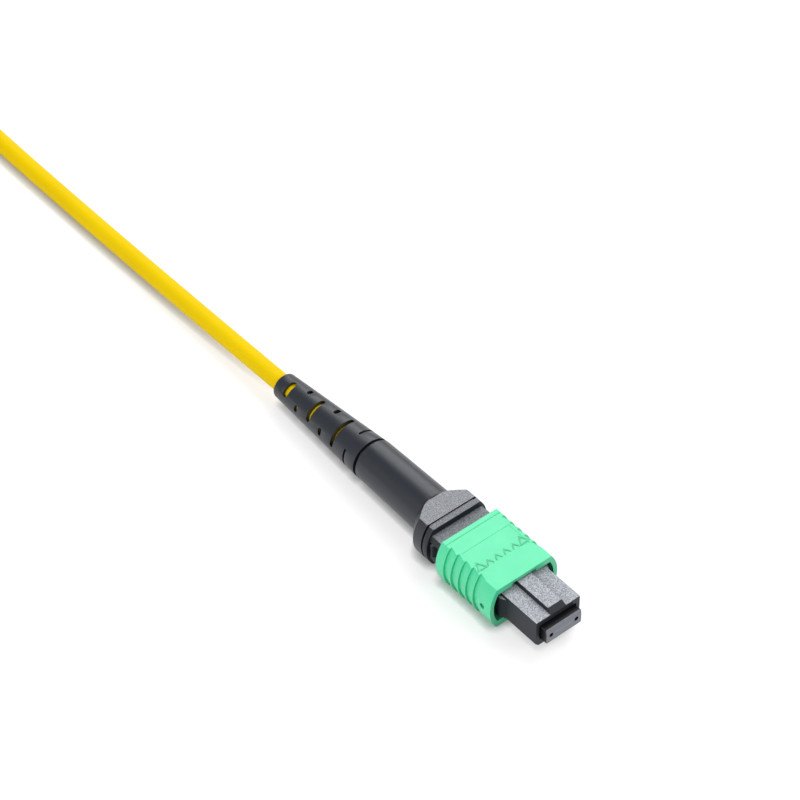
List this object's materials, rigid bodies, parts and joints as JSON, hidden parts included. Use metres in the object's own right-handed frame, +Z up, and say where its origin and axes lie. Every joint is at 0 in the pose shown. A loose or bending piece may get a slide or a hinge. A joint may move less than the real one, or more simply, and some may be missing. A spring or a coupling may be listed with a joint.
{
  "type": "fibre optic connector",
  "caption": "Multi-fibre push-on connector with sprung pull housing, floating ferrule, slotted strain-relief boot and a round patch cord wound to a tied hank.",
  "frame": {"origin": "bottom centre of the near connector without its cord, on the surface it lies on", "axes": "+X is the mating direction, out of the ferrule's face; +Z up through the key; +Y to the left when looking along +X"},
  "size_m": [0.254, 0.0293, 0.0162],
  "materials": {
    "coupling_green": "satin",
    "housing_black": "satin",
    "spring_steel": "satin",
    "ferrule_grey": "polished",
    "fibre_glass": "polished",
    "epoxy_amber": "gloss",
    "sleeve_rubber": "matte",
    "keeper_plastic": "satin",
    "ribbon_coat": "gloss",
    "yarn_yellow": "matte",
    "crimp_brass": "satin",
    "boot_rubber": "satin",
    "jacket_yellow": "satin",
    "strap_fabric": "matte"
  },
  "bodies": {
    "connector": {"aramid_yarn": "yarn_yellow", "boot": "boot_rubber", "cable": "jacket_yellow", "cable_hank": "jacket_yellow", "cable_tail": "jacket_yellow", "coupling_spring_left": "spring_steel", "coupling_spring_right": "spring_steel", "crimp_sleeve": "crimp_brass", "far_boot": "boot_rubber", "far_coupling_spring_left": "spring_steel", "far_coupling_spring_right": "spring_steel", "far_ferrule_spring": "spring_steel", "far_fibre_ribbon": "ribbon_coat", "far_inner_housing": "housing_black", "far_spring_push": "housing_black", "ferrule_spring": "spring_steel", "fibre_ribbon": "ribbon_coat", "hank_strap": "strap_fabric", "inner_housing": "housing_black", "spring_push": "housing_black"},
    "coupling": {"outer_housing": "coupling_green"},
    "ferrule_carrier": {"epoxy_fill": "epoxy_amber", "ferrule": "ferrule_grey", "ferrule_boot": "sleeve_rubber", "fibre_ends": "fibre_glass", "pin_keeper": "keeper_plastic"},
    "far_coupling": {"far_outer_housing": "coupling_green"},
    "far_ferrule_carrier": {"far_ferrule": "ferrule_grey", "far_ferrule_boot": "sleeve_rubber", "far_pin_keeper": "keeper_plastic"}
  },
  "joints": [
    {"name": "coupling_pull", "type": "slide", "parent": "connector", "child": "coupling", "axis": [-1, 0, 0], "range_m": [0, 0.0024], "stiffness_N_per_m": 400, "springref_m": -0.002, "deforming": ["coupling_spring_left", "coupling_spring_right"]},
    {"name": "ferrule_float", "type": "slide", "parent": "connector", "child": "ferrule_carrier", "axis": [-1, 0, 0], "range_m": [0, 0.0012], "stiffness_N_per_m": 600, "springref_m": -0.002, "deforming": ["ferrule_spring", "fibre_ribbon"]},
    {"name": "far_coupling_pull", "type": "slide", "parent": "connector", "child": "far_coupling", "axis": [1, 0, 0], "range_m": [0, 0.0024], "stiffness_N_per_m": 400, "springref_m": -0.002, "deforming": ["far_coupling_spring_left", "far_coupling_spring_right"]},
    {"name": "far_ferrule_float", "type": "slide", "parent": "connector", "child": "far_ferrule_carrier", "axis": [1, 0, 0], "range_m": [0, 0.0012], "stiffness_N_per_m": 600, "springref_m": -0.002, "deforming": ["far_ferrule_spring", "far_fibre_ribbon"]}
  ]
}
